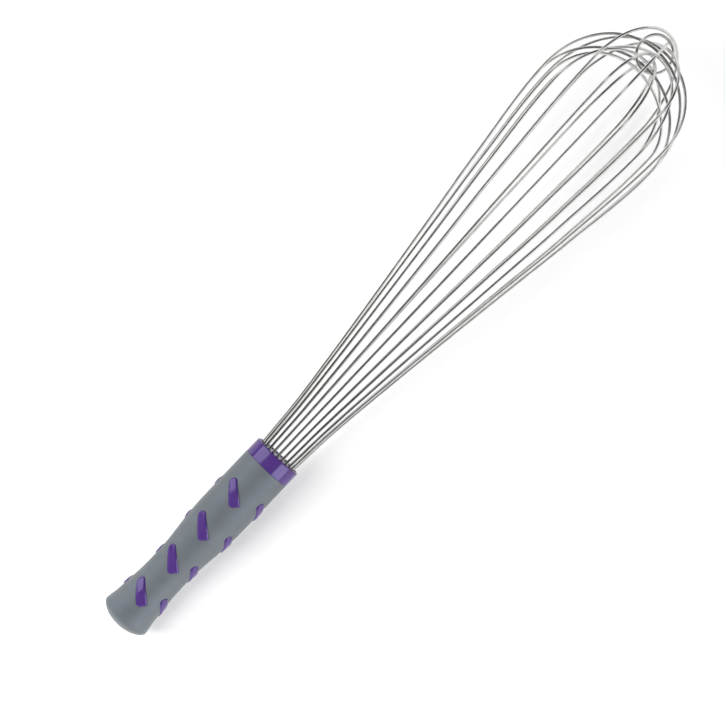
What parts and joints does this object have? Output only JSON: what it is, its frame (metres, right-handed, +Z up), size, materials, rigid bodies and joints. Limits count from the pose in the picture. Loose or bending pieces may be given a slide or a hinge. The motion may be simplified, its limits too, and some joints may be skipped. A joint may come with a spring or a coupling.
{
  "type": "balloon whisk",
  "caption": "Long balloon whisk: sprung stainless wire loops that cross at the crown, potted in a violet moulded handle with a round collar and a soft grey sleeve with slanted ribs.",
  "frame": {"origin": "centre of the bottom of the bounding box, on the table that the whisk lies on", "axes": "+Z up, +X along the whisk from the butt to the crown; the whisk lies on its side, so its axis rises 4.1 degrees from +X towards +Z"},
  "size_m": [0.4562, 0.0878, 0.087],
  "materials": {
    "violet_nylon": "glossy moulded nylon",
    "grey_elastomer": "matte soft-touch elastomer with a fine mould texture",
    "potting_resin": "cast resin, semi-gloss",
    "stainless_wire": "bright drawn and electropolished spring wire"
  },
  "bodies": {
    "root": {"handle_core": "violet_nylon", "grip_sleeve": "grey_elastomer", "potting_plug": "potting_resin", "wire_loop_01": "stainless_wire", "wire_loop_02": "stainless_wire", "wire_loop_03": "stainless_wire", "wire_loop_04": "stainless_wire", "wire_loop_05": "stainless_wire", "wire_loop_06": "stainless_wire", "wire_loop_07": "stainless_wire", "wire_loop_08": "stainless_wire", "wire_loop_09": "stainless_wire", "wire_loop_10": "stainless_wire", "wire_loop_11": "stainless_wire", "crown_ring": "stainless_wire"}
  },
  "joints": []
}
